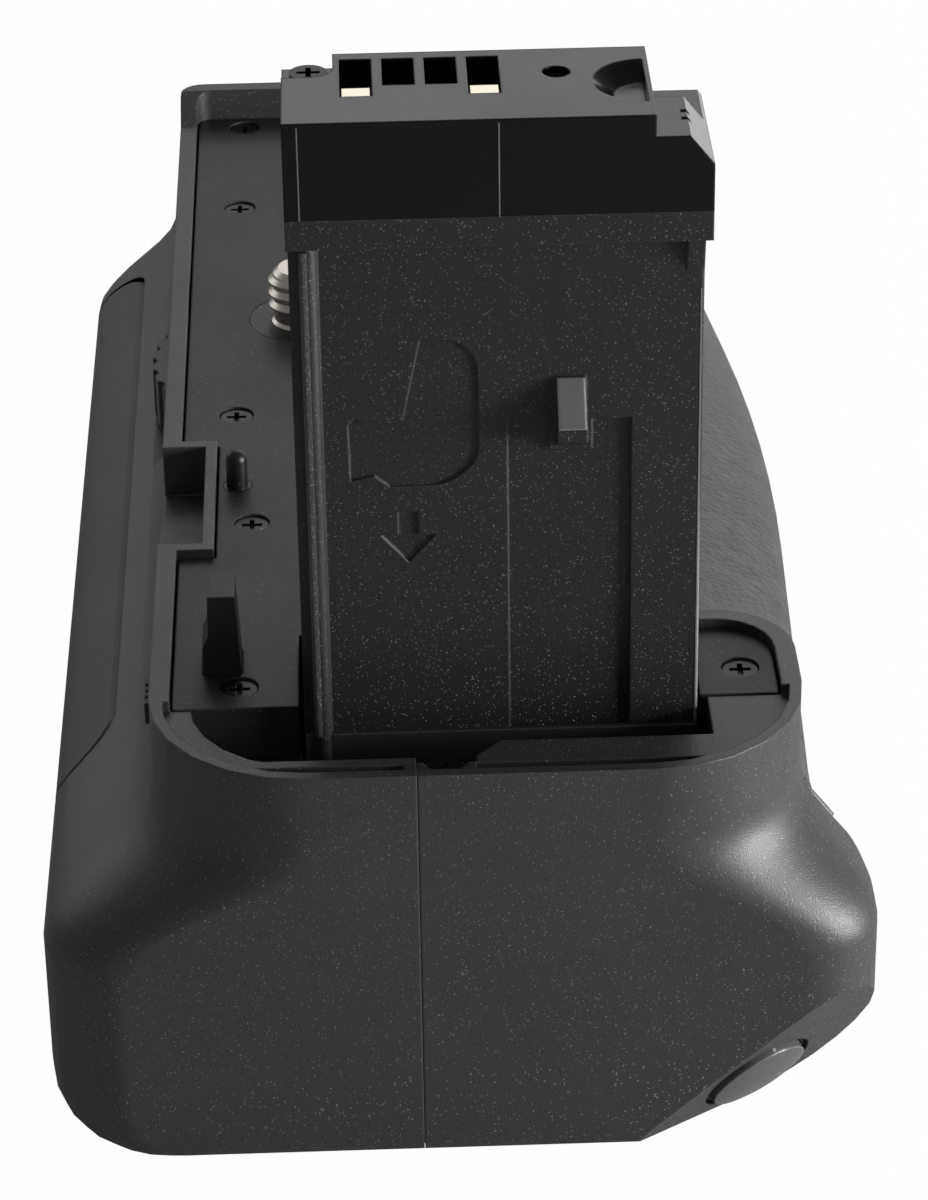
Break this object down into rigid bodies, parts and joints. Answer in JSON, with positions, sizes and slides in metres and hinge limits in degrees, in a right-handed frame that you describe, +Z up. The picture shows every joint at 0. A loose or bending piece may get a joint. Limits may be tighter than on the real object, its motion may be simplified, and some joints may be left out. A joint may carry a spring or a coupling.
{
  "type": "camera battery grip",
  "caption": "Vertical battery grip for a small reflex camera, with a plug-in tower, camera screw and thumbwheel, shutter button, dial and a slide-out battery magazine.",
  "frame": {"origin": "on the axis of the camera screw, in the deck plane that the camera base rests on", "axes": "+X towards the shutter-button end, +Y towards the lens side, +Z up into the camera, along the camera screw"},
  "size_m": [0.1344, 0.0694, 0.0899],
  "materials": {
    "textured_shell": "fine moulded grain, charcoal",
    "panel": "fine moulded grain, bonded",
    "grip_rubber": "pebbled",
    "deck": "satin",
    "black_screw": "black finish",
    "inner_frame": "moulded",
    "tower_plastic": "fine grain, near black",
    "glossy_head": "glossy black",
    "circuit_board": "solder mask",
    "contact_gold": "gold plated",
    "ribbon_film": "polyimide film",
    "bright_steel": "nickel plated",
    "knurl_black": "knurled",
    "button_black": "satin",
    "switch_case": "moulded",
    "brass_bush": "turned"
  },
  "bodies": {
    "grip": {"rear_shell": "textured_shell", "front_shell": "textured_shell", "rear_grip_panel": "panel", "front_grip_rubber": "grip_rubber", "deck_plate": "deck", "corner_plate": "deck", "deck_screws": "black_screw", "end_screw": "black_screw", "chassis": "inner_frame", "tower_body": "tower_plastic", "tower_cap": "glossy_head", "tower_cap_screw": "black_screw", "terminal_board": "circuit_board", "terminal_contacts": "contact_gold", "tower_ribbon": "ribbon_film", "screw_bush": "black_screw", "locating_pin": "button_black", "door_switch_post": "button_black", "tripod_bush": "brass_bush", "shutter_cup": "inner_frame", "shutter_switch": "switch_case", "dial_axle": "bright_steel", "dial_bracket": "bright_steel", "power_switch": "switch_case", "thumb_switches": "circuit_board", "main_board": "circuit_board", "bay_contacts": "contact_gold", "base_plate": "textured_shell"},
    "wheel": {"mount_screw": "bright_steel", "thumbwheel": "knurl_black"},
    "shutter": {"shutter_button": "button_black"},
    "dial": {"main_dial": "knurl_black"},
    "power": {"power_knob": "button_black"},
    "lock": {"lock_button": "button_black"},
    "point": {"point_button": "button_black"},
    "magazine": {"magazine_tray": "inner_frame", "magazine_cover": "textured_shell", "tray_contacts": "contact_gold"},
    "latch": {"latch_key": "knurl_black", "latch_tongue": "bright_steel"}
  },
  "joints": [
    {"name": "wheel_turn", "type": "hinge", "parent": "grip", "child": "wheel", "pos_m": [0, 0, 0], "axis": [0, 0, 1], "continuous": true},
    {"name": "shutter_press", "type": "slide", "parent": "grip", "child": "shutter", "axis": [-0.7112, -0.4619, 0.5299], "range_m": [0, 0.0008], "stiffness_N_per_m": 800, "springref_m": -0.0006},
    {"name": "dial_turn", "type": "hinge", "parent": "grip", "child": "dial", "pos_m": [0.0695, 0.0389, -0.01487], "axis": [0, -0.6157, 0.788], "continuous": true},
    {"name": "power_slide", "type": "slide", "parent": "grip", "child": "power", "axis": [1, 0, 0], "range_m": [0, 0.003]},
    {"name": "lock_press", "type": "slide", "parent": "grip", "child": "lock", "axis": [0, 1, 0], "range_m": [0, 0.0005], "stiffness_N_per_m": 600, "springref_m": -0.0006},
    {"name": "point_press", "type": "slide", "parent": "grip", "child": "point", "axis": [0, 1, 0], "range_m": [0, 0.0005], "stiffness_N_per_m": 600, "springref_m": -0.0006},
    {"name": "magazine_slide", "type": "slide", "parent": "grip", "child": "magazine", "axis": [-1, 0, 0], "range_m": [0, 0.07]},
    {"name": "latch_turn", "type": "hinge", "parent": "magazine", "child": "latch", "pos_m": [-0.0475, 0.00945, -0.0252], "axis": [1, 0, 0], "range_deg": [0, 90]}
  ]
}
